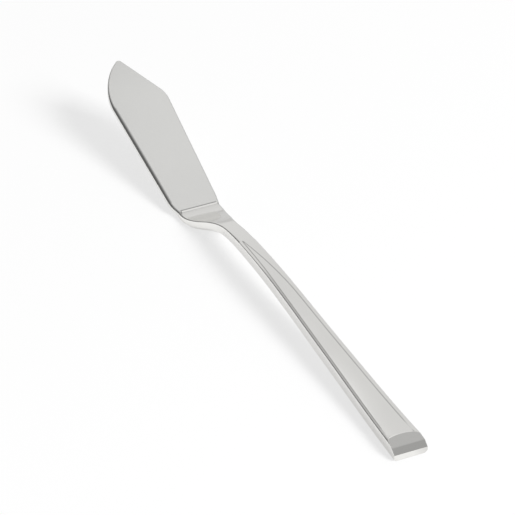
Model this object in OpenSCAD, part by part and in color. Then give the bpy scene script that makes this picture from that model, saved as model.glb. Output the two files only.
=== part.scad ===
// Butter knife: a flat blade, an S-curved neck and a slim hollow handle with a faceted end.
// It is drawn as it lies on a table, on its heel and on the handle's end. The handle's end is at
// x = 0, the tip points along +X and the cutting edge is on +Y. in_frame() then puts the origin on
// the table, in the middle of the knife's box.

/* [Handle] */
// Length from the handle's end to the step where the blade starts
handle_length = 131.5; // [124:0.5:142]
// Width across the handle's end
end_width = 10; // [9:0.1:12]
// Width of the waist between the handle's taper and the neck's flare
waist_width = 4.85; // [4.5:0.05:5.5]
// Distance from the step at which the handle's taper ends
waist_from_step = 23.5; // [22:0.5:27]
// Height of the straight side wall
side_height = 3.15; // [2.9:0.05:3.5]
// Size of the chamfer between side wall and underside
belly_chamfer = 0.9; // [0.75:0.05:1]
// Thickness of the handle's two shells
wall = 0.65; // [0.5:0.05:0.75]
// Distance of the seam between the shells below the top edge
seam_drop = 1.5; // [1.3:0.1:1.8]

/* [Arch] */
// Height of the top edge at the handle's end
end_height = 3.8; // [3.65:0.05:4]
// Slope of the top edge at the handle's end, in degrees
end_slope = 0.2; // [0:0.1:1.5]
// Height of the top edge half way to the crest
middle_height = 6.65; // [6:0.05:7.3]
// Slope of the top edge half way to the crest, in degrees
middle_slope = 4.2; // [3.5:0.1:5]
// Height of the crest, the highest place of the handle
crest_height = 9.7; // [9:0.1:10.5]
// Distance of the crest from the step
crest_from_step = 40; // [38:0.5:42]

/* [Top panel] */
// Width of the bevel to the left of the panel
left_bevel = 0.7; // [0.6:0.05:1]
// Width of the bevel to the right of the panel
right_bevel = 1.4; // [1.1:0.05:1.7]
// Height of the panel's borders above the handle's top edges
panel_rise = 0.2; // [0.15:0.01:0.3]
// Crown of the panel across its full width
panel_crown = 0.12; // [0.05:0.01:0.2]
// Distance from the step of the point in which the panel ends
point_from_step = 32; // [31:0.5:33.5]
// Distance of that point from the left edge of the handle
point_bevel = 1; // [0.8:0.05:1.2]
// Width of the panel at that point
point_width = 0.2; // [0.15:0.05:0.3]
// Height of that point above the top edges
point_rise = 0.16; // [0.1:0.01:0.25]
// Length over which the panel's right border sweeps to the point
sweep_length = 30; // [26:0.5:36]

/* [End cap] */
// Length of the cap that closes the handle
cap_length = 6.2; // [5.9:0.1:7]
// Length of the end's two facets together
facet_length = 5.6; // [5.1:0.1:5.8]
// Slope of the long facet, in degrees
facet_slope = 13; // [10:0.5:16]
// Length of the short facet at the very end
nose_length = 1.5; // [1.2:0.1:1.8]
// Slope of the short facet, in degrees
nose_slope = 43; // [36:1:47]
// Length of the cap's spigot inside the shells
spigot_length = 4; // [3:0.5:6]

/* [Neck] */
// Distance from the step of the place where the neck falls most steeply
fall_from_step = 12; // [11:0.5:13]
// Height of the top edge at that place
fall_height = 5.5; // [5.1:0.1:5.9]
// Slope of the top edge at that place, in degrees
fall_slope = 25.5; // [23:0.5:28]
// Distance from the step of the heel, where the top edge flattens out
heel_from_step = 4; // [3.6:0.1:4.5]
// Height of the top edge at the heel
heel_height = 2.44; // [2.34:0.02:2.6]
// Slope of the top edge at the heel, in degrees
heel_slope = 13; // [10:0.5:16]
// Height of the top edge at the step
step_edge = 1.88; // [1.76:0.02:2]
// Height at the step of the lip, the neck's flat top that rises above its edges
step_height = 2.6; // [2.5:0.05:2.75]
// Length over which the lip rises
lip_length = 4.5; // [4:0.1:5]
// Width of the bevels beside the lip
lip_bevel = 0.8; // [0.6:0.05:1]
// Distance from the step at which the neck starts to flare
flare_from_step = 22; // [20:0.5:24]
// Height of the neck's side at the step, from its foot to the lip
step_side = 1.6; // [1.5:0.05:1.75]
// Distance from the step at which the side wall starts to thin
thin_from_step = 84; // [70:1:95]
// Length of the tang in the handle
tang_length = 45; // [30:1:55]
// Width of the tang
tang_width = 2; // [1.7:0.1:2.3]
// Height of the tang
tang_height = 1.3; // [1:0.1:1.4]

/* [Blade] */
// Length along the blade from the step to the tip, before the tip is rounded
blade_length = 61; // [54:0.1:70]
// Angle at which the blade rises from the table, in degrees
blade_tilt = 18; // [15:0.5:21]
// Thickness of the blade
blade_thickness = 1.5; // [1.4:0.05:1.7]
// Width of the blade and neck at the step
root_width = 13; // [12.4:0.1:13.6]
// Height of the step from the blade's face up to the neck
lip_height = 0.4; // [0.3:0.02:0.5]
// Radius of the step's left end, seen on the blade's face
lip_round = 1.4; // [0.8:0.1:2]
// Length of the flare that widens the blade at its root
root_flare_length = 3; // [2.5:0.1:3.5]
// How much the root flare widens the blade on the side of the cutting edge
edge_flare = 1.1; // [0.8:0.05:1.3]
// How much the root flare widens the blade on the side of the spine
spine_flare = 0.4; // [0.25:0.05:0.6]
// Radius of the two shoulders in which the root flare ends
shoulder_radius = 8; // [4:0.5:9]
// Distance from the tip back to the corner of the cutting edge's belly
belly_from_tip = 8.6; // [8:0.1:11]
// Reach of that corner to the left of the middle plane
belly_reach = 8.7; // [8.3:0.05:9.3]
// Radius of the belly
belly_radius = 21; // [14:1:23]
// Distance from the tip back to the corner of the spine
corner_from_tip = 16.8; // [14:0.1:20]
// Reach of that corner to the right of the middle plane
corner_reach = 9.3; // [8.5:0.05:10.2]
// Radius of the spine's corner
corner_radius = 8; // [4:0.5:12]
// Distance of the tip to the right of the middle plane
tip_offset = 0.8; // [0:0.1:2]
// Radius of the tip
tip_radius = 1.1; // [0.8:0.1:1.6]
// Width of the rounding along the cutting edge
edge_bevel = 1.1; // [0.8:0.05:1.3]
// Drop of the rounding along the cutting edge
edge_drop = 0.9; // [0.7:0.05:0.95]
// Width of the rounding along the spine, the point and the root
spine_bevel = 0.5; // [0.4:0.05:0.7]
// Drop of the rounding along the spine, the point and the root
spine_drop = 0.2; // [0.15:0.01:0.35]
// Size of the bevel round the blade's underside
under_bevel = 0.28; // [0.2:0.02:0.4]
// Length of the tongue in the neck's slot
tongue_length = 4.5; // [3.5:0.1:5]
// Width of the tongue
tongue_width = 7.2; // [6:0.2:8]
// Thickness of the tongue
tongue_thickness = 0.85; // [0.7:0.05:0.95]

/* [Fits] */
// Clearance round the tongue, the tang, the spigot and the handle's core
fit = 0.05; // [0.03:0.01:0.1]

/* [Hidden] */

// Places along the knife
step_x = handle_length;
crest_x = step_x - crest_from_step;
waist_x = step_x - waist_from_step;
flare_x = step_x - flare_from_step;
thin_x = step_x - thin_from_step;
joint_x = step_x - point_from_step;
lip_x = step_x - lip_length;
sweep_x = joint_x - sweep_length;
spigot_x = cap_length + spigot_length;
tang_x = joint_x - tang_length;

// Numbers of steps in the lofts and in rounded corners
shell_steps = 36;
neck_steps = 36;
cap_steps = 6;
inner_steps = 24;
corner_steps = 12;
edge_steps = 4;

// How far joined shapes reach into each other, and how far cuts run past the solid
lap = 1;

// Exponents of the handle's taper in plan and of its thinning towards the blade
taper_power = 1.6;
thin_power = 3.6;
// Length over which the panel's point runs out on the neck
point_fade = 8;
// Half the turn between the side wall and the chamfer below it
half_turn = 22.5;

// Side line of the handle's top edges: distance from the end, height and slope
side_line = [
    [0, end_height, end_slope],
    [crest_x / 2, middle_height, middle_slope],
    [crest_x, crest_height, 0],
    [step_x - fall_from_step, fall_height, -fall_slope],
    [step_x - heel_from_step, heel_height, -heel_slope],
    [step_x, step_edge, 0]
];

function hermite(p, q, x) =
    let (d = q[0] - p[0], t = (x - p[0]) / d)
    (2 * t^3 - 3 * t^2 + 1) * p[1] + (t^3 - 2 * t^2 + t) * d * tan(p[2])
    + (3 * t^2 - 2 * t^3) * q[1] + (t^3 - t^2) * d * tan(q[2]);

function edge_z(x, i = 0) =
    (x <= side_line[i + 1][0] || i == len(side_line) - 2)
    ? hermite(side_line[i], side_line[i + 1], x)
    : edge_z(x, i + 1);

function ease(t) = t <= 0 ? 0 : t >= 1 ? 1 : t * t * (3 - 2 * t);

// Half the width in plan: the waist, widened by the handle's taper and by the neck's flare
function half_width(x) =
    let (
        taper = (end_width - waist_width) * max(0, 1 - x / waist_x)^taper_power,
        flare = (root_width - waist_width) * ease((x - flare_x) / (step_x - flare_x))
    )
    (waist_width + taper + flare) / 2;

// Height of the lip above the neck's edges
function lip(x) = (step_height - step_edge) * (max(0, x - lip_x) / lip_length)^2;

// Height of the side from its foot to the flat top, and the levels below it
function side(x) =
    side_height - (side_height - step_side) * (max(0, x - thin_x) / (step_x - thin_x))^thin_power;
function wall_foot(x) = edge_z(x) + lip(x) - side(x);
function underside(x) = max(0, wall_foot(x) - belly_chamfer);
function seam_z(x) = edge_z(x) - seam_drop;

// The panel: its left and right borders, its height over the edges and its crown
function sweep(x) = max(0, min(1, (x - sweep_x) / sweep_length));
function panel_left(x) =
    half_width(x) - left_bevel + (left_bevel - point_bevel) * sweep(x);
function panel_right(x) =
    let (full = 2 * half_width(x) - right_bevel - point_bevel - point_width)
    right_bevel - half_width(x) + full * sweep(x)^2;
function panel_z(x) =
    let (run_out = 1 - ease((x - joint_x) / point_fade))
    edge_z(x) + (panel_rise - (panel_rise - point_rise) * sweep(x)^2) * run_out;
function crown(x) =
    panel_crown * ((panel_left(x) - panel_right(x)) / (end_width - left_bevel - right_bevel))^2;

// Points of the panel from left to right
panel_parts = 6;
function panel_points(x) = [
    for (i = [0 : panel_parts])
        let (k = i / panel_parts, y = panel_left(x) + (panel_right(x) - panel_left(x)) * k)
        [x, y, panel_z(x) + crown(x) * 4 * k * (1 - k)]
];

// Cross-section of the solid neck and of the end cap
function solid_section(x, top) =
    let (w = half_width(x), foot = wall_foot(x), low = underside(x), inner = w - foot + low)
    concat(
        [[x, w, foot], [x, w, edge_z(x)]],
        top,
        [[x, -w, edge_z(x)], [x, -w, foot], [x, -inner, low], [x, inner, low]]
    );

// The neck's flat top starts as narrow as the panel's point and widens to the lip
function neck_section(x) =
    let (
        w = half_width(x),
        z = panel_z(x) + lip(x),
        fade_x = joint_x + point_fade,
        open = ease((x - fade_x) / (lip_x - fade_x)),
        left = w - point_bevel + (point_bevel - lip_bevel) * open,
        right = (w - point_bevel - point_width) * (1 - open) + (lip_bevel - w) * open
    )
    solid_section(x, [[x, left, z], [x, right, z]]);
function cap_section(x) = solid_section(x, panel_points(x));

// Levels of the hollow inside the shells
function ceiling(x) = edge_z(x) - wall;
function floor_z(x) = underside(x) + wall;
function floor_corner(x) = wall_foot(x) + wall * tan(half_turn);

// Cross-section of the hollow, drawn in by gap on all sides
function hollow_section(x, gap) =
    let (
        w = half_width(x) - wall - gap,
        low = floor_z(x) + gap,
        corner = floor_corner(x) + gap * tan(half_turn),
        inner = w - corner + low
    )
    [
        [x, w, corner], [x, w, ceiling(x) - gap], [x, -w, ceiling(x) - gap],
        [x, -w, corner], [x, -inner, low], [x, inner, low]
    ];

// Cross-sections of the two shells, open towards the seam, and the faces of their ends
top_shell_ends = [[0, 1, 13, 14], [1, 2, 3, 4, 5, 6, 7, 8, 9, 12, 13], [9, 10, 11, 12]];
bottom_shell_ends = [[0, 1, 10, 11], [1, 2, 9, 10], [2, 3, 8, 9], [3, 4, 7, 8], [4, 5, 6, 7]];
function top_shell_section(x) =
    let (w = half_width(x), v = w - wall, z = seam_z(x), e = edge_z(x))
    concat(
        [[x, w, z], [x, w, e]],
        panel_points(x),
        [[x, -w, e], [x, -w, z], [x, -v, z], [x, -v, ceiling(x)], [x, v, ceiling(x)], [x, v, z]]
    );
function bottom_shell_section(x) =
    let (
        w = half_width(x),
        v = w - wall,
        z = seam_z(x),
        foot = wall_foot(x),
        low = underside(x),
        outer = w - foot + low,
        inner = v - floor_corner(x) + floor_z(x)
    )
    [
        [x, -w, z], [x, -w, foot], [x, -outer, low], [x, outer, low], [x, w, foot], [x, w, z],
        [x, v, z], [x, v, floor_corner(x)], [x, inner, floor_z(x)],
        [x, -inner, floor_z(x)], [x, -v, floor_corner(x)], [x, -v, z]
    ];

// Cross-section of the tang, in the middle of the hollow
function tang_section(x, gap) =
    let (
        w = tang_width / 2 + gap,
        h = tang_height / 2 + gap,
        z = (ceiling(min(x, joint_x)) + floor_z(min(x, joint_x))) / 2
    )
    [[x, w, z - h], [x, w, z + h], [x, -w, z + h], [x, -w, z - h]];

// Evenly spaced places from x0 to x1
function places(x0, x1, steps) = [for (i = [0 : steps]) x0 + (x1 - x0) * i / steps];

// Closed solid through a row of sections with the same number of points.
// A section that isn't convex gives the convex faces that its ends are made of.
module loft(sections, end_faces = []) {
    n = len(sections[0]);
    last = len(sections) - 1;
    skin = [
        for (k = [0 : last - 1], i = [0 : n - 1])
            let (j = (i + 1) % n, a = k * n + i, b = k * n + j, c = b + n, d = a + n)
            each [[a, d, c], [a, c, b]]
    ];
    first_end = end_faces == [] ? [[for (i = [0 : n - 1]) i]] : end_faces;
    last_end = [for (f = first_end) [for (i = [len(f) - 1 : -1 : 0]) last * n + f[i]]];
    polyhedron([for (s = sections) each s], concat(skin, first_end, last_end));
}

// Blade outline, seen on the blade's face: distance along it from the step, and to the left.
// Each corner has its radius; each side, named by the corner it starts from, its rounding and drop.
corners = [
    [0, -root_width / 2],
    [root_flare_length, -root_width / 2 - spine_flare],
    [blade_length - corner_from_tip, -corner_reach],
    [blade_length, -tip_offset],
    [blade_length - belly_from_tip, belly_reach],
    [root_flare_length, root_width / 2 + edge_flare],
    [0, root_width / 2]
];
radii = [0, shoulder_radius, corner_radius, tip_radius, belly_radius, shoulder_radius, 0];
face_bevels = [spine_bevel, spine_bevel, spine_bevel, spine_bevel, edge_bevel, spine_bevel, 0];
face_drops = [spine_drop, spine_drop, spine_drop, spine_drop, edge_drop, spine_drop];
sides = len(corners);
root_side = sides - 1;
no_bevels = [for (k = [0 : root_side]) 0];
under_bevels = [for (k = [0 : root_side]) k == root_side ? 0 : under_bevel];

function cross2(a, b) = a[0] * b[1] - a[1] * b[0];
function unit(v) = v / norm(v);
function left_of(e) = [-e[1], e[0]];
function side_before(k) = (k + sides - 1) % sides;
function direction(k) = unit(corners[(k + 1) % sides] - corners[k]);

// Corner k after each side has moved inwards by its own distance
function inset_corner(k, bevels) =
    let (
        e = direction(side_before(k)),
        f = direction(k),
        p = corners[k] + left_of(e) * bevels[side_before(k)],
        q = corners[k] + left_of(f) * bevels[k]
    )
    p + e * cross2(q - p, f) / cross2(e, f);

// Points of the rounded corner k, each with its share of the way round the corner
function corner_points(k, bevels) =
    let (
        e = direction(side_before(k)),
        f = direction(k),
        turn = acos(e * f),
        way = sign(cross2(e, f)),
        r = radii[k] - way * (bevels[side_before(k)] + bevels[k]) / 2,
        p = inset_corner(k, bevels),
        start = p - e * r * tan(turn / 2),
        centre = start + left_of(e) * way * r,
        v = start - centre
    )
    radii[k] == 0
    ? [[p, 0]]
    : [
        for (i = [0 : corner_steps])
            let (share = i / corner_steps, a = way * turn * share)
            [centre + v * cos(a) + left_of(v) * sin(a), share]
    ];

// Drop of the face's rounding at a share of the way round corner k
function corner_drop(k, share) =
    k == 0 ? face_drops[0]
    : k == root_side ? face_drops[k - 1]
    : face_drops[k - 1] + (face_drops[k] - face_drops[k - 1]) * share;

// A place on the blade: s along it from the step, y to the left and h up from its face.
// The root is cut upright at the step, so its two ends move along with their height.
face_z = step_height - lip_height;
function on_blade(k, p, h) =
    let (s = (k == 0 || k == root_side) ? h * tan(blade_tilt) : p[0])
    [
        step_x + s * cos(blade_tilt) - h * sin(blade_tilt),
        p[1],
        face_z + s * sin(blade_tilt) + h * cos(blade_tilt)
    ];
function level_ring(bevels, h) = [
    for (k = [0 : root_side], c = corner_points(k, bevels)) on_blade(k, c[0], h)
];

// A ring on the rounding between the blade's rim, where turn is 0, and its face, where it is 90
function round_ring(turn) = [
    for (k = [0 : root_side], c = corner_points(k, face_bevels * (1 - cos(turn))))
        on_blade(k, c[0], -corner_drop(k, c[1]) * (1 - sin(turn)))
];

// The blade's rings, from its underside up to its face, and how far they reach
blade_rings = [
    level_ring(under_bevels, -blade_thickness),
    level_ring(no_bevels, under_bevel - blade_thickness),
    for (i = [0 : edge_steps]) round_ring(90 * i / edge_steps)
];
blade_points = [for (r = blade_rings) each r];
knife_length = max([for (p = blade_points) p[0]]);
left_reach = max([for (p = blade_points) p[1]]);
right_reach = -min([for (p = blade_points) p[1]]);

// From the drawing's place to the origin on the table, in the middle of the knife's box
module in_frame() {
    translate([-knife_length / 2, (right_reach - left_reach) / 2, 0])
        children();
}

// Middle height of the tongue and of its slot
tongue_z = (wall_foot(step_x) + face_z) / 2;

module tongue(gap, front) {
    width = tongue_width + 2 * gap;
    height = tongue_thickness + 2 * gap;
    translate([step_x - tongue_length - gap, -width / 2, tongue_z - height / 2])
        cube([tongue_length + gap + front, width, height]);
}

module blade() {
    color("gainsboro")
        in_frame()
            union() {
                loft(blade_rings);
                tongue(0, lap);
            }
}

// What the rounded left end of the step leaves open above the blade's face
module beside_step() {
    lip_left = root_width / 2 - lip_bevel * (1 - lip_height / (step_height - step_edge));
    translate([step_x - lip_round, lip_left - lip_round, face_z])
        linear_extrude(lip_round)
            difference() {
                square(lip_round + lap);
                circle(lip_round, $fn = 4 * corner_steps);
            }
}

module neck() {
    color("silver")
        in_frame()
            difference() {
                union() {
                    loft([for (x = places(joint_x, step_x, neck_steps)) neck_section(x)]);
                    loft([for (x = places(tang_x, joint_x + lap, inner_steps)) tang_section(x, 0)]);
                }
                tongue(fit, lap);
                beside_step();
            }
}

module handle_top_shell() {
    color("lightgray")
        in_frame()
            loft(
                [for (x = places(cap_length, joint_x, shell_steps)) top_shell_section(x)],
                top_shell_ends
            );
}

module handle_bottom_shell() {
    color("darkgray")
        in_frame()
            loft(
                [for (x = places(cap_length, joint_x, shell_steps)) bottom_shell_section(x)],
                bottom_shell_ends
            );
}

// Space above the end's two facets
module above_facets() {
    facet_z = panel_z(facet_length) + crown(facet_length);
    ridge_z = facet_z - (facet_length - nose_length) * tan(facet_slope);
    nose_z = ridge_z - (nose_length + lap) * tan(nose_slope);
    back_z = facet_z + (cap_length + lap - facet_length) * tan(facet_slope);
    sky = 2 * crest_height;
    rotate([90, 0, 0])
        linear_extrude(2 * end_width, center = true)
            polygon([
                [-lap, nose_z],
                [nose_length, ridge_z],
                [cap_length + lap, back_z],
                [cap_length + lap, sky],
                [-lap, sky]
            ]);
}

module end_cap() {
    color("silver")
        in_frame()
            union() {
                difference() {
                    loft([for (x = places(0, cap_length, cap_steps)) cap_section(x)]);
                    above_facets();
                }
                loft([for (x = places(cap_length - lap, spigot_x, cap_steps)) hollow_section(x, fit)]);
            }
}

module handle_core() {
    color("dimgray")
        in_frame()
            difference() {
                loft([
                    for (x = places(spigot_x + fit, joint_x - fit, inner_steps)) hollow_section(x, fit)
                ]);
                loft([
                    for (x = places(tang_x - fit, joint_x + lap, inner_steps)) tang_section(x, fit)
                ]);
            }
}

blade();
neck();
handle_top_shell();
handle_bottom_shell();
end_cap();
handle_core();
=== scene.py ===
import math

import bmesh
import bpy
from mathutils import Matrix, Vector


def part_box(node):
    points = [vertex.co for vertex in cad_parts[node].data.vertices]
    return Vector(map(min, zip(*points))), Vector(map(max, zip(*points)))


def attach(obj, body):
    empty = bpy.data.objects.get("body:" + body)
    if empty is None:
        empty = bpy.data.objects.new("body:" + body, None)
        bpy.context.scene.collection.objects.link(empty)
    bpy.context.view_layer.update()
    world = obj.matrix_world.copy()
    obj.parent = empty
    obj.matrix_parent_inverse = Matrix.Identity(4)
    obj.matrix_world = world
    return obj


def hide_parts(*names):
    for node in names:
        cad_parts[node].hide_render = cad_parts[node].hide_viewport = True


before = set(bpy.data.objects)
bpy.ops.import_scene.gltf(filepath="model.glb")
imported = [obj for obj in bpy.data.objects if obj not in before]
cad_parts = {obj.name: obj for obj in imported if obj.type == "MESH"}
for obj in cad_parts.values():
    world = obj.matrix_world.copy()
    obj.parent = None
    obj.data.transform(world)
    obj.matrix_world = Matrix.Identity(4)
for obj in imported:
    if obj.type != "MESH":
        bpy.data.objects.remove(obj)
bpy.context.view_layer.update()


# Neck
# The bolster between handle and blade: one steel forging, bent in an S, ground flat on top and
# polished. A tang behind it reaches into the handle, and the blade's tongue reaches into its front.
mm = 0.001
tiny = 0.002 * mm
handle_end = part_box("end_cap")[0].x
cap_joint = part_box("handle_top_shell")[0].x
neck_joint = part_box("handle_top_shell")[1].x
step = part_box("neck")[1].x
middle = sum(corner.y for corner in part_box("end_cap")) / 2
crest = step - 40 * mm
waist = step - 23.5 * mm
flare = step - 22 * mm
thin_start = step - 84 * mm
end_width = 10 * mm
waist_width = 4.85 * mm
root_width = 13 * mm
side_height = 3.15 * mm
step_side = 1.6 * mm
belly_chamfer = 0.9 * mm
edge_round = 0.5 * mm
taper_power = 1.6
thin_power = 3.6
step_edge = 1.88 * mm
side_line = [
    (handle_end, 3.8 * mm, 0.2),
    ((handle_end + crest) / 2, 6.65 * mm, 4.2),
    (crest, 9.7 * mm, 0),
    (step - 12 * mm, 5.5 * mm, -25.5),
    (step - 4 * mm, 2.44 * mm, -13),
    (step, step_edge, 0),
]


def edge_height(x):
    """Height of the handle's and neck's top edges above the table."""
    spans = list(zip(side_line, side_line[1:]))
    start, end = next((s for s in spans if x <= s[1][0]), spans[-1])
    run = end[0] - start[0]
    t = (x - start[0]) / run
    leave = run * math.tan(math.radians(start[2]))
    arrive = run * math.tan(math.radians(end[2]))
    rise = (3 - 2 * t) * t * t
    return (1 - rise) * start[1] + rise * end[1] + t * (1 - t) * ((1 - t) * leave - t * arrive)


def ease(t):
    """Smooth step from 0 to 1."""
    t = min(1, max(0, t))
    return t * t * (3 - 2 * t)


def half_width(x):
    """Half the width in plan: the waist, widened by the handle's taper and by the neck's flare."""
    taper = (end_width - waist_width) * max(0, (waist - x) / (waist - handle_end)) ** taper_power
    widening = (root_width - waist_width) * ease((x - flare) / (step - flare))
    return (waist_width + taper + widening) / 2


def wall_height(x):
    """Height of the upright side wall, which thins towards the blade."""
    share = max(0, x - thin_start) / (step - thin_start)
    return side_height - (side_height - step_side) * share ** thin_power


def block(name, low, high):
    """A block with these lowest and highest corners, open for editing."""
    bpy.ops.object.select_all(action="DESELECT")
    low, high = Vector(low), Vector(high)
    bpy.ops.mesh.primitive_cube_add(size=1, location=(low + high) / 2, scale=high - low)
    piece = bpy.context.object
    piece.name = name
    bpy.ops.object.transform_apply(location=True, rotation=True, scale=True)
    bpy.ops.object.mode_set(mode="EDIT")
    return piece


def pick(test):
    """Selects the points that pass the test, with the edges and faces between them."""
    mesh = bpy.context.edit_object.data
    cage = bmesh.from_edit_mesh(mesh)
    cage.select_mode = {"VERT"}
    for point in cage.verts:
        point.select = bool(test(point.co))
    cage.select_flush_mode()
    bmesh.update_edit_mesh(mesh)


def shift(test, y=0, z=0):
    """Moves the points that pass the test."""
    pick(test)
    bpy.ops.transform.translate(value=(0, y, z))


def move_sides(test, y):
    """Moves the points that pass the test outwards on both sides of the middle."""
    shift(lambda p: test(p) and p.y > middle, y=y)
    shift(lambda p: test(p) and p.y < middle, y=-y)


def squeeze(test, place, y=1, z=1):
    """Scales the points that pass the test about a place."""
    pick(test)
    bpy.ops.transform.resize(value=(1, y, z), center_override=place)


def cut(place, direction, **sides):
    """Cuts the whole piece along a plane."""
    bpy.ops.mesh.select_all(action="SELECT")
    bpy.ops.mesh.bisect(plane_co=place, plane_no=direction, threshold=tiny / 10, **sides)


def rows(start, end, count):
    """Evenly spaced places between two ends, with both ends."""
    return [start + (end - start) * i / count for i in range(count + 1)]


def bevel_long_edges(test, width, segments):
    """Bevels the edges along the knife whose two ends pass the test."""
    mesh = bpy.context.edit_object.data
    cage = bmesh.from_edit_mesh(mesh)
    bpy.ops.mesh.select_all(action="DESELECT")
    cage.select_mode = {"EDGE"}
    for edge in cage.edges:
        start, end = (point.co for point in edge.verts)
        edge.select = bool(abs(start.x - end.x) > tiny and test(start) and test(end))
    cage.select_flush_mode()
    bmesh.update_edit_mesh(mesh)
    bpy.ops.mesh.bevel(offset=width, segments=segments, affect="EDGES")


class Shade:
    """One output of a material's nodes, which can be reckoned with like a number."""

    def __init__(self, tree, socket=None):
        self.tree = tree
        self.socket = socket

    def node(self, kind, settings=(), inputs=(), output=0):
        """Adds a node, sets it, feeds its sockets with values or links, and gives one output."""
        made = self.tree.nodes.new(kind)
        for name, value in dict(settings).items():
            setattr(made, name, value)
        for name, value in dict(inputs).items():
            if isinstance(value, Shade):
                self.tree.links.new(value.socket, made.inputs[name])
            else:
                made.inputs[name].default_value = value
        return Shade(self.tree, made.outputs[output] if made.outputs else None)

    def reckon(self, operation, first, second):
        return self.node("ShaderNodeMath", {"operation": operation}, {0: first, 1: second})

    def __add__(self, other):
        return self.reckon("ADD", self, other)

    def __mul__(self, other):
        return self.reckon("MULTIPLY", self, other)

    def __sub__(self, other):
        return self.reckon("SUBTRACT", self, other)

    __radd__ = __add__
    __rmul__ = __mul__


polish_depth = 0.0003 * mm
# Painted shade: a dull grey band on the steel up to a joint, standing in for the shade in the crease
# where the neck's lip meets the blade.
painted_shade_colour = (0.38, 0.38, 0.37, 1)
painted_shade_fade = 0.3 * mm
painted_shade_half = 5.3 * mm
painted_shade_end = 6 * mm


def steel(name, colour, roughness, joint=-1):
    """Polished stainless steel with fine lines and faint smears, and a dull grey band of painted
    shade behind a joint, standing in for the shade in its crease.
    """
    material = bpy.data.materials.new(name)
    material.use_nodes = True
    tree = material.node_tree
    tree.nodes.clear()
    nodes = Shade(tree)
    place = nodes.node("ShaderNodeTexCoord", output="Object")
    drawn = nodes.node("ShaderNodeMapping", inputs={"Vector": place, "Scale": (45, 2600, 2600)})
    lines = nodes.node("ShaderNodeTexNoise", inputs={"Vector": drawn, "Scale": 1, "Detail": 3})
    smears = nodes.node("ShaderNodeTexNoise", inputs={"Vector": place, "Scale": 70, "Detail": 4})
    dull = nodes.node(
        "ShaderNodeMix",
        {"data_type": "RGBA"},
        {0: smears, 6: [c * 0.97 for c in colour] + [1], 7: list(colour) + [1]},
        output=2,
    )
    along = nodes.node("ShaderNodeSeparateXYZ", inputs={0: place}, output="X")
    across = nodes.node("ShaderNodeSeparateXYZ", inputs={0: place}, output="Y") - middle
    ahead = nodes.node(
        "ShaderNodeMapRange",
        inputs={0: along, 1: joint, 2: joint + painted_shade_fade, 3: 0, 4: 1},
    )
    beyond = nodes.node(
        "ShaderNodeMapRange",
        inputs={0: across * across, 1: painted_shade_half ** 2, 2: painted_shade_end ** 2, 3: 0, 4: 1},
    )
    # Mask of the painted shade: 0 behind the joint and near the middle of the piece, 1 elsewhere.
    clear = nodes.reckon("MAXIMUM", ahead, beyond)
    painted_shade_tone = nodes.node(
        "ShaderNodeMix",
        {"data_type": "RGBA"},
        {0: clear, 6: painted_shade_colour, 7: dull},
        output=2,
    )
    bump = nodes.node(
        "ShaderNodeBump",
        inputs={"Height": lines, "Strength": 1, "Distance": polish_depth},
    )
    surface = nodes.node(
        "ShaderNodeBsdfPrincipled",
        inputs={
            "Base Color": painted_shade_tone,
            "Metallic": 1,
            "Roughness": roughness + 0.06 * (smears - 0.5) + 0.05 * (lines - 0.5),
            "Normal": bump,
        },
    )
    nodes.node("ShaderNodeOutputMaterial", inputs={"Surface": surface})
    return material


handle_colour = (0.88, 0.872, 0.85)
handle_roughness = 0.13
handle_steel = steel("handle_steel", handle_colour, handle_roughness)
soft_angle = math.radians(38)


def finish_piece(piece, material, slot_name, *nodes):
    """Closes a piece: its material, smooth shading over its rounded edges, its body and its node. The
    slot name is not used.
    """
    piece.data.materials.append(material)
    bpy.ops.object.mode_set(mode="OBJECT")
    bpy.ops.object.select_all(action="DESELECT")
    piece.select_set(True)
    bpy.context.view_layer.objects.active = piece
    bpy.ops.object.shade_smooth_by_angle(angle=soft_angle)
    flats = piece.modifiers.new("flats", "WEIGHTED_NORMAL")
    flats.keep_sharp = True
    bpy.ops.object.modifier_apply(modifier=flats.name)
    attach(piece, "root")
    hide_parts(*nodes)


neck = block(
    "neck_bolster",
    (neck_joint, middle - root_width / 2, -side_height - belly_chamfer),
    (step, middle + root_width / 2, 0),
)
point_bevel = 1 * mm
point_width = 0.2 * mm
point_rise = 0.16 * mm
point_fade = 8 * mm
step_height = 2.6 * mm
lip_length = 4.5 * mm
lip_bevel = 0.8 * mm
lip_turn = 0.7 * mm
lip_nose = 0.15 * mm
root_lift = 0.24 * mm
fall_steps = 40
lip_steps = 16
nose_turns = (15, 30, 45, 60, 90)
lip_start = step - lip_length
left_line = root_width / 2 - point_bevel
right_line = left_line - point_width


def quarter_round(x, end, radius):
    """How far a rounded end of this radius has fallen away at x."""
    inside = min(radius, max(0, x - end + radius))
    return radius - math.sqrt(radius * radius - inside * inside)


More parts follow.
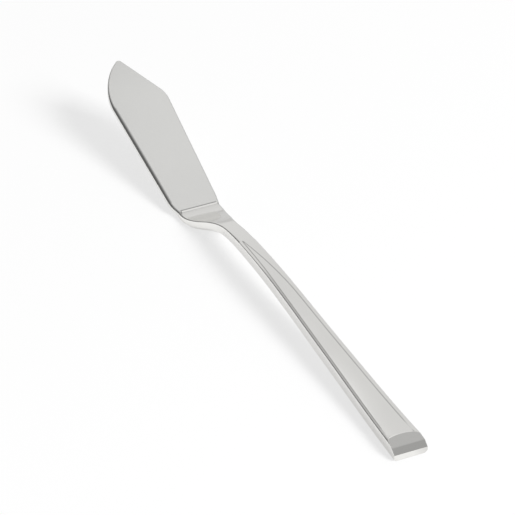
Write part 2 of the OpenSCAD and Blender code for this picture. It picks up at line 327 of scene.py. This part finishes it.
bevel_long_edges(lambda p: p.z < -side_height, belly_chamfer, 1)
bevel_long_edges(lambda p: p.z > -tiny, edge_round, 3)
for y in (left_line, right_line):
    cut((0, middle + y, 0), (0, 1, 0))
neck_rows = rows(neck_joint, lip_start, fall_steps)
neck_rows += rows(lip_start, step - lip_nose, lip_steps)[1:]
neck_rows += [step - lip_nose * (1 - math.sin(math.radians(turn))) for turn in nose_turns]
for x in neck_rows[1:-1]:
    cut((x, 0, 0), (1, 0, 0))
for x in neck_rows:
    half = half_width(x)
    spread = half - root_width / 2
    open_share = ease((x - neck_joint - point_fade) / (lip_start - neck_joint - point_fade))
    lip = (step_height - step_edge) * (max(0, x - lip_start) / lip_length) ** 2
    rise = point_rise * (1 - ease((x - neck_joint) / point_fade)) + lip
    rise -= quarter_round(x, step, lip_nose)
    left = half - point_bevel + (point_bevel - lip_bevel) * open_share
    left -= quarter_round(x, step, lip_turn)
    right = (half - point_bevel - point_width) * (1 - open_share) + (lip_bevel - half) * open_share
    here = lambda p: abs(p.x - x) < tiny
    on_line = lambda p, y: here(p) and abs(p.z) < tiny and abs(p.y - middle - y) < tiny
    move_sides(here, spread)
    shift(lambda p: on_line(p, right_line + spread), y=right - right_line - spread, z=rise)
    shift(lambda p: on_line(p, left_line + spread), y=left - left_line - spread, z=rise)
    left_edge = lambda p: (
        here(p) and p.z > -edge_round - tiny and p.y > middle + half - edge_round - tiny
    )
    shift(left_edge, z=root_lift * ease(1 - (step - x) / lip_length))
    shift(lambda p: here(p) and p.z < -side_height / 2, z=side_height - wall_height(x) + lip)
    shift(here, z=edge_height(x))
    squeeze(lambda p: here(p) and p.z < 0, (x, middle, 0), z=0)


def hollow_middle(x):
    """Height of the middle of the hollow handle above the table."""
    return (edge_height(x) + max(0, edge_height(x) - wall_height(x) - belly_chamfer)) / 2


tang_length = 45 * mm
tang_width = 2 * mm
tang_height = 1.3 * mm
tang_steps = 6
tang_rows = rows(neck_joint, neck_joint - tang_length, tang_steps)
pick(lambda p: p.x < neck_joint + tiny)
bpy.ops.mesh.extrude_region_move()
bpy.ops.transform.resize(
    value=(1, tang_width / (2 * half_width(neck_joint)), tang_height / (side_height + belly_chamfer)),
    center_override=(neck_joint, middle, hollow_middle(neck_joint)),
)
for before, after in zip(tang_rows, tang_rows[1:]):
    rise = hollow_middle(after) - hollow_middle(before)
    bpy.ops.mesh.extrude_region_move(TRANSFORM_OT_translate={"value": (after - before, 0, rise)})
finish_piece(neck, handle_steel, "handle_steel", "neck")


# Blade
# A flat steel plate, blanked to shape and ground: a broad round along its blunt cutting edge, a
# narrow one along the spine, and a satin polish. Its root is brazed to the neck at the step.
blade_tilt = 18
blade_thickness = 1.5 * mm
step_drop = 0.4 * mm
blade_face = step_height - step_drop
edge_bevel = 1.1 * mm
spine_bevel = 0.4 * mm
under_bevel = 0.28 * mm
left_root = Vector((0, root_width / 2, 0))
right_root = Vector((0, -root_width / 2, 0))
left_shoulder = Vector((3 * mm, 7.6 * mm, 0))
right_shoulder = Vector((3 * mm, -6.9 * mm, 0))
blade_corner = Vector((44.2 * mm, -9.3 * mm, 0))
blade_belly = Vector((52.4 * mm, 8.695 * mm, 0))
blade_tip = Vector((60.94 * mm, -0.8 * mm, 0))
root_radius = 8 * mm
corner_radius = 8 * mm
belly_radius = 21 * mm
tip_radius = 1.1 * mm
belly_fade = 16 * mm
root_fade = 12 * mm
root_share = 0.35
# Painted shade: the blade's steel is painted dull grey from the step to this far along the blade,
# standing in for the shade under the neck's lip.
painted_shade_length = 0.45 * mm
blade_colour = (0.82, 0.818, 0.8)
blade_roughness = 0.2
blade_steel = steel("blade_steel", blade_colour, blade_roughness, step + painted_shade_length)
root_lap = 3 * mm
bpy.ops.object.select_all(action="DESELECT")
bpy.ops.mesh.primitive_plane_add(size=1, location=(-root_lap / 2, 0, 0))
blade = bpy.context.object
blade.name = "blade_plate"
blade.scale = (root_lap, root_width, 1)
bpy.ops.object.transform_apply(location=True, rotation=True, scale=True)
bpy.ops.object.mode_set(mode="EDIT")


def widen(left, right):
    """Extrudes the front edge of the blade's outline and sets its two ends to their places."""
    cage = bmesh.from_edit_mesh(blade.data)
    front = max(point.co.x for point in cage.verts)
    pick(lambda p: p.x > front - tiny)
    bpy.ops.mesh.extrude_edges_move(TRANSFORM_OT_translate={"value": (mm, 0, 0)})
    for corner in (left, right):
        pick(lambda p: p.x > front + mm / 2 and p.y * corner.y > 0)
        cage = bmesh.from_edit_mesh(blade.data)
        found = next(point.co.copy() for point in cage.verts if point.select)
        bpy.ops.transform.translate(value=corner - found)


def round_corner(before, corner, after, radius, segments):
    """Rounds one corner of the blade's outline."""
    turn = (corner - before).angle(after - corner)
    pick(lambda p: (p - corner).length < tiny)
    reach = radius * math.tan(turn / 2)
    bpy.ops.mesh.bevel(offset=reach, segments=segments, affect="VERTICES")


widen(left_shoulder, right_shoulder)
widen(blade_belly, blade_corner)
pick(lambda p: p.x > blade_corner.x - tiny)
bpy.ops.mesh.extrude_edges_move()
bpy.ops.mesh.merge(type="CENTER")
bpy.ops.transform.translate(value=blade_tip - (blade_corner + blade_belly) / 2)
bpy.ops.mesh.select_all(action="SELECT")
bpy.ops.mesh.dissolve_limited(angle_limit=math.radians(0.1))
round_corner(right_root, right_shoulder, blade_corner, root_radius, 4)
round_corner(left_root, left_shoulder, blade_belly, root_radius, 8)
round_corner(right_shoulder, blade_corner, blade_tip, corner_radius, 20)
round_corner(blade_tip, blade_belly, left_shoulder, belly_radius, 40)
round_corner(blade_corner, blade_tip, blade_belly, tip_radius, 12)
bpy.ops.mesh.select_all(action="SELECT")
bpy.ops.mesh.extrude_region_move(TRANSFORM_OT_translate={"value": (0, 0, -blade_thickness)})
edge_rows = rows(4 * mm, 44 * mm, 20)
for x in edge_rows:
    cut((x, 0, 0), (1, 0, 0))
bpy.ops.mesh.select_all(action="SELECT")
bpy.ops.mesh.normals_make_consistent(inside=False)


def rim_width(p):
    """Width of the rounding at a place on the rim: broad along the cutting edge only."""
    if p.y <= 0:
        return spine_bevel
    share = ease((blade_belly.x - p.x) / belly_fade)
    share *= root_share + (1 - root_share) * ease(p.x / root_fade)
    return spine_bevel + (edge_bevel - spine_bevel) * share


plate = bmesh.from_edit_mesh(blade.data)
weights = plate.edges.layers.float.new("bevel_weight_edge")
for edge in plate.edges:
    start, end = (point.co for point in edge.verts)
    if abs(start.z - end.z) < tiny and edge.calc_face_angle(0) > 1:
        width = rim_width((start + end) / 2) if start.z > -tiny else under_bevel
        edge[weights] = width / edge_bevel
bmesh.update_edit_mesh(blade.data)
bpy.ops.object.mode_set(mode="OBJECT")
rounded = blade.modifiers.new("rounded", "BEVEL")
rounded.width = edge_bevel
rounded.segments = 5
rounded.limit_method = "WEIGHT"
rounded.use_clamp_overlap = False
bpy.ops.object.modifier_apply(modifier=rounded.name)
bpy.ops.object.mode_set(mode="EDIT")
bpy.ops.mesh.select_all(action="SELECT")
bpy.ops.transform.rotate(
    value=math.radians(blade_tilt), orient_axis="Y", center_override=(0, 0, 0)
)
bpy.ops.transform.translate(value=(step, middle, blade_face))
cut((step, 0, 0), (1, 0, 0), clear_inner=True, use_fill=True)
tongue_length = 4.5 * mm
tongue_width = 7.2 * mm
tongue_thickness = 0.85 * mm
pick(lambda p: p.x < step + tiny)
root_face = [point.co.copy() for point in bmesh.from_edit_mesh(blade.data).verts if point.select]
root_low = min(p.z for p in root_face)
root_high = max(p.z for p in root_face)
bpy.ops.mesh.extrude_region_move()
bpy.ops.transform.resize(
    value=(1, tongue_width / root_width, tongue_thickness / (root_high - root_low)),
    center_override=(step, middle, (root_low + root_high) / 2),
)
bpy.ops.mesh.extrude_region_move(TRANSFORM_OT_translate={"value": (-tongue_length, 0, 0)})
finish_piece(blade, blade_steel, "blade_steel", "blade")


# The top half of the handle
# Pressed from sheet steel, with a faintly crowned panel between two fine lines and two bevels. The
# right bevel sweeps across the handle and ends the panel in a point. The seam below is brazed.
wall = 0.55 * mm
seam_drop = 1.5 * mm
left_bevel = 0.7 * mm
right_bevel = 1.4 * mm
panel_rise = 0.2 * mm
end_crown = 0.12 * mm
panel_crown = 0.06 * mm
crown_fade = 12 * mm
sweep_length = 30 * mm
line_half = 0.08 * mm
line_depth = 0.08 * mm
line_fade = 2 * mm
shell_round = 0.2 * mm
panel_width = end_width - left_bevel - right_bevel
plain_lines = [(0, 0), (0.25, 0), (0.5, 0), (0.75, 0), (1, 0)]
border_lines = [(0, line_half), (0, -line_half), (1, line_half), (1, -line_half)]
pocket_lines = [(0, left_bevel - wall), (1, wall - right_bevel)]
shell_lines = plain_lines + border_lines + pocket_lines
top_shell = block(
    "handle_upper_half",
    (cap_joint, middle - end_width / 2, -seam_drop),
    (neck_joint, middle + end_width / 2, 0),
)


def draw_panel(lines):
    """Cuts the lines of the panel into a straight block."""
    for share, aside in lines:
        cut((0, middle + end_width / 2 - left_bevel - panel_width * share + aside, 0), (0, 1, 0))


def round_rims():
    """Rounds the two upper long edges of a straight block."""
    on_rim = lambda p: abs(p.z) < tiny and abs(abs(p.y - middle) - end_width / 2) < tiny
    bevel_long_edges(on_rim, shell_round, 3)


def shape_top(x, here, lines, depth):
    """Sets one row of the panel and its two bevels: crowned, with fine lines of this depth."""
    half = half_width(x)
    sweep = min(1, max(0, 1 - (neck_joint - x) / sweep_length))
    left = half - left_bevel + (left_bevel - point_bevel) * sweep
    right = right_bevel - half + (2 * half - right_bevel - point_bevel - point_width) * sweep ** 2
    rise = panel_rise - (panel_rise - point_rise) * sweep ** 2
    bow = end_crown + (panel_crown - end_crown) * ease((x - cap_joint) / crown_fade)
    crown = bow * ((left - right) / panel_width) ** 2
    for side, reach in ((1, half - left), (-1, half + right)):
        rim = side * (end_width / 2 - shell_round)
        on_rim = lambda p: here(p) and abs(p.z) < tiny and abs(p.y - middle - rim) < tiny
        shift(on_rim, z=rise * shell_round / reach)
    for share, aside in lines:
        start = end_width / 2 - left_bevel - panel_width * share + aside
        y = left + (right - left) * share + aside
        z = rise + 4 * crown * share * (1 - share)
        if share in (0, 1) and not aside:
            z -= depth
        elif share == 0 and aside > 0:
            z *= (half - y) / (half - left)
        elif share == 1 and aside < 0:
            z *= (half + y) / (half + right)
        on_line = lambda p: here(p) and abs(p.z) < tiny and abs(p.y - middle - start) < tiny
        shift(on_line, y=y - start, z=z)


draw_panel(shell_lines)
pocket = end_width / 2 - wall
pick(lambda p: p.z < -seam_drop + tiny and abs(p.y - middle) < pocket + tiny)
bpy.ops.mesh.extrude_region_move(TRANSFORM_OT_translate={"value": (0, 0, seam_drop - wall)})
round_rims()
shell_steps = 44
shell_rows = rows(cap_joint, neck_joint, shell_steps)
for x in shell_rows[1:-1]:
    cut((x, 0, 0), (1, 0, 0))
for x in shell_rows:
    spread = half_width(x) - end_width / 2
    here = lambda p: abs(p.x - x) < tiny
    inside = lambda p: here(p) and p.z < -wall / 2 and abs(p.y - middle) < pocket + tiny
    beside = lambda p: here(p) and abs(p.y - middle) > end_width / 2 - left_bevel / 2
    shape_top(x, here, shell_lines, line_depth * ease((x - cap_joint) / line_fade))
    squeeze(inside, (x, middle, 0), y=1 + spread / pocket)
    move_sides(beside, spread)
    shift(here, z=edge_height(x))
finish_piece(top_shell, handle_steel, "handle_steel", "handle_top_shell")


# The bottom half of the handle
# Pressed from the same sheet as a trough with chamfered lower corners, and brazed to the top half.
bottom_shell = block(
    "handle_lower_half",
    (cap_joint, middle - end_width / 2, -side_height - belly_chamfer),
    (neck_joint, middle + end_width / 2, -seam_drop),
)
trough = -side_height - belly_chamfer + wall
bevel_long_edges(lambda p: p.z < -side_height, belly_chamfer, 1)
for y in (-pocket, pocket):
    cut((0, middle + y, 0), (0, 1, 0))
pick(lambda p: p.z > -seam_drop - tiny and abs(p.y - middle) < pocket + tiny)
bpy.ops.mesh.extrude_region_move(TRANSFORM_OT_translate={"value": (0, 0, trough + seam_drop)})
for x in shell_rows[1:-1]:
    cut((x, 0, 0), (1, 0, 0))
for x in shell_rows:
    spread = half_width(x) - end_width / 2
    here = lambda p: abs(p.x - x) < tiny
    inside = lambda p: p.z > trough - tiny and abs(p.y - middle) < pocket + tiny
    pocket_rows = {tuple(p.co) for p in bmesh.from_edit_mesh(bottom_shell.data).verts if inside(p.co)}
    move_sides(lambda p: here(p) and tuple(p) not in pocket_rows, spread)
    squeeze(lambda p: here(p) and tuple(p) in pocket_rows, (x, middle, 0), y=1 + spread / pocket)
    shift(lambda p: here(p) and p.z < -side_height / 2, z=side_height - wall_height(x))
    shift(here, z=edge_height(x))
    squeeze(lambda p: here(p) and p.z < 0, (x, middle, 0), z=0)
finish_piece(bottom_shell, handle_steel, "handle_steel", "handle_bottom_shell")


# The end of the handle
# A solid steel cap, ground with two facets, set against the ends of the two shells. Its joint is
# brazed and polished with the handle.
facet_length = 5.6 * mm
nose_length = 1.5 * mm
facet_slope = math.radians(13)
nose_slope = math.radians(43)
facet_round = 0.14 * mm
end_cap = block(
    "handle_end",
    (handle_end, middle - end_width / 2, -side_height - belly_chamfer),
    (cap_joint, middle + end_width / 2, 0),
)
bevel_long_edges(lambda p: p.z < -side_height, belly_chamfer, 1)
draw_panel(plain_lines)
round_rims()
cap_steps = 6
cap_rows = rows(handle_end, cap_joint, cap_steps)
for x in cap_rows[1:-1]:
    cut((x, 0, 0), (1, 0, 0))
for x in cap_rows:
    spread = half_width(x) - end_width / 2
    here = lambda p: abs(p.x - x) < tiny
    shape_top(x, here, plain_lines, 0)
    move_sides(lambda p: here(p) and p.z < panel_rise / 2, spread)
    shift(here, z=edge_height(x))
    squeeze(lambda p: here(p) and p.z < 0, (x, middle, 0), z=0)
facet_x = handle_end + facet_length
ridge_x = handle_end + nose_length
facet_z = edge_height(facet_x) + panel_rise + end_crown
ridge_z = facet_z - (facet_x - ridge_x) * math.tan(facet_slope)
for place, slope in (((facet_x, 0, facet_z), facet_slope), ((ridge_x, 0, ridge_z), nose_slope)):
    cut(place, (-math.sin(slope), 0, math.cos(slope)), clear_outer=True, use_fill=True)
    bpy.ops.mesh.bevel(offset=facet_round, segments=2, affect="EDGES")
finish_piece(end_cap, handle_steel, "handle_steel", "end_cap")


# Core
# The cement that fills the hollow handle and holds the tang. It was poured in soft and set hard.
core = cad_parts["handle_core"]
cement = bpy.data.materials.new("core_cement")
cement.use_nodes = True
cement.node_tree.nodes.clear()
nodes = Shade(cement.node_tree)
place = nodes.node("ShaderNodeTexCoord", output="Object")
grains = nodes.node("ShaderNodeTexNoise", inputs={"Vector": place, "Scale": 1800, "Detail": 5})
tone = nodes.node(
    "ShaderNodeMix",
    {"data_type": "RGBA"},
    {0: grains, 6: (0.26, 0.245, 0.22, 1), 7: (0.38, 0.355, 0.32, 1)},
    output=2,
)
pits = nodes.node("ShaderNodeBump", inputs={"Height": grains, "Strength": 1, "Distance": 0.04 * mm})
surface = nodes.node(
    "ShaderNodeBsdfPrincipled",
    inputs={"Base Color": tone, "Roughness": 0.8 + 0.15 * grains, "Normal": pits},
)
nodes.node("ShaderNodeOutputMaterial", inputs={"Surface": surface})
core.material_slots[0].material = cement


# Table
# A white table top under the knife, which the steel mirrors less brightly behind the knife: there its
# colour is darkened for glossy rays only, as painted shade. It isn't part of the knife.
bpy.ops.object.select_all(action="DESELECT")
bpy.ops.mesh.primitive_plane_add(size=12, location=(0, 0, 0))
table = bpy.context.object
table.name = "table"
white = bpy.data.materials.new("white_table")
white.use_nodes = True
white.node_tree.nodes.clear()
nodes = Shade(white.node_tree)
place = nodes.node("ShaderNodeTexCoord", output="Object")
across = nodes.node("ShaderNodeSeparateXYZ", inputs={0: place}, output="Y")
# Painted shade: behind the knife the table's colour drops to 0.28 in glossy rays.
behind = nodes.node("ShaderNodeMapRange", inputs={0: across, 1: -1 * mm, 2: -9 * mm, 3: 0, 4: 1})
mirrored = nodes.node("ShaderNodeLightPath", output="Is Glossy Ray")
shaded = nodes.node(
    "ShaderNodeMix",
    {"data_type": "RGBA"},
    {0: mirrored * behind, 6: (0.93, 0.93, 0.93, 1), 7: (0.28, 0.28, 0.28, 1)},
    output=2,
)
top = nodes.node("ShaderNodeBsdfDiffuse", inputs={"Color": shaded})
paper = nodes.node("ShaderNodeEmission", inputs={"Color": (1, 1, 1, 1), "Strength": 1})
seen = 0.66 * nodes.node("ShaderNodeLightPath", output="Is Camera Ray")
for way, share in (("Is Glossy Ray", 0.5), ("Is Transmission Ray", 0.66)):
    seen = seen + share * nodes.node("ShaderNodeLightPath", output=way)
shown = nodes.node("ShaderNodeMixShader", inputs={0: seen, 1: top, 2: paper})
nodes.node("ShaderNodeOutputMaterial", inputs={"Surface": shown})
table.data.materials.append(white)


# Light and camera
# Soft studio light: a large key lamp from the right, a softbox behind the knife and another
# overhead for the steel to mirror, in a grey room that is dark ahead on the left.
camera_data = bpy.data.cameras.new("camera")
camera_data.sensor_width = 36
camera_data.lens = 274.8
camera = bpy.data.objects.new("camera", camera_data)
bpy.context.scene.collection.objects.link(camera)
azimuth, elevation, distance = math.radians(244.12), math.radians(33.46), 1110 * mm
target = Vector((handle_end + 98.6 * mm, middle - 2.87 * mm, 3.6 * mm))
back = Vector((
    math.sin(azimuth) * math.cos(elevation),
    -math.cos(azimuth) * math.cos(elevation),
    math.sin(elevation),
))
camera.location = target + back * distance
camera.rotation_euler = (-back).to_track_quat("-Z", "Y").to_euler()
bpy.context.scene.camera = camera

room = bpy.data.worlds.new("room")
bpy.context.scene.world = room
room.use_nodes = True
room.node_tree.nodes.clear()
nodes = Shade(room.node_tree)
way = nodes.node("ShaderNodeTexCoord", output="Generated")
along = nodes.node("ShaderNodeSeparateXYZ", inputs={0: way}, output="X")
across = nodes.node("ShaderNodeSeparateXYZ", inputs={0: way}, output="Y")
dusk = nodes.node("ShaderNodeMapRange", inputs={0: across, 1: 0.02, 2: 0.5, 3: 0.51, 4: 0.13})
dawn = nodes.node("ShaderNodeMapRange", inputs={0: along, 1: 0.15, 2: -0.3, 3: 0.13, 4: 0.51})
level = nodes.reckon("MAXIMUM", dusk, dawn) * (0.9 + 0.24 * along)
air = nodes.node("ShaderNodeBackground", inputs={"Color": (1, 1, 1, 1), "Strength": level})
nodes.node("ShaderNodeOutputWorld", inputs={"Surface": air})


def softbox(name, place, target, width, height, brightness):
    """A rectangular lamp of even brightness that faces a target."""
    lamp = bpy.data.lights.new(name, "AREA")
    lamp.shape = "RECTANGLE"
    lamp.size = width
    lamp.size_y = height
    lamp.energy = brightness * math.pi * width * height
    stand = bpy.data.objects.new(name, lamp)
    stand.location = Vector(place)
    stand.rotation_euler = (stand.location - Vector(target)).to_track_quat("Z", "Y").to_euler()
    stand.visible_camera = False
    bpy.context.scene.collection.objects.link(stand)
    return stand


origin = (0, 0, 0)
over_blade = (0.066, 0, 0.012)
key = softbox("key", (-2.1, -1.1, 1.83), origin, width=1.2, height=1.2, brightness=22)
key.visible_glossy = False
softbox("behind", (1.891, -1.159, 1.154), origin, width=2.71, height=2.07, brightness=0.192)
softbox("above_blade", (0.191, -0.16, 0.4), over_blade, width=0.12, height=0.12, brightness=0.355)
bpy.context.scene.view_settings.view_transform = "Standard"
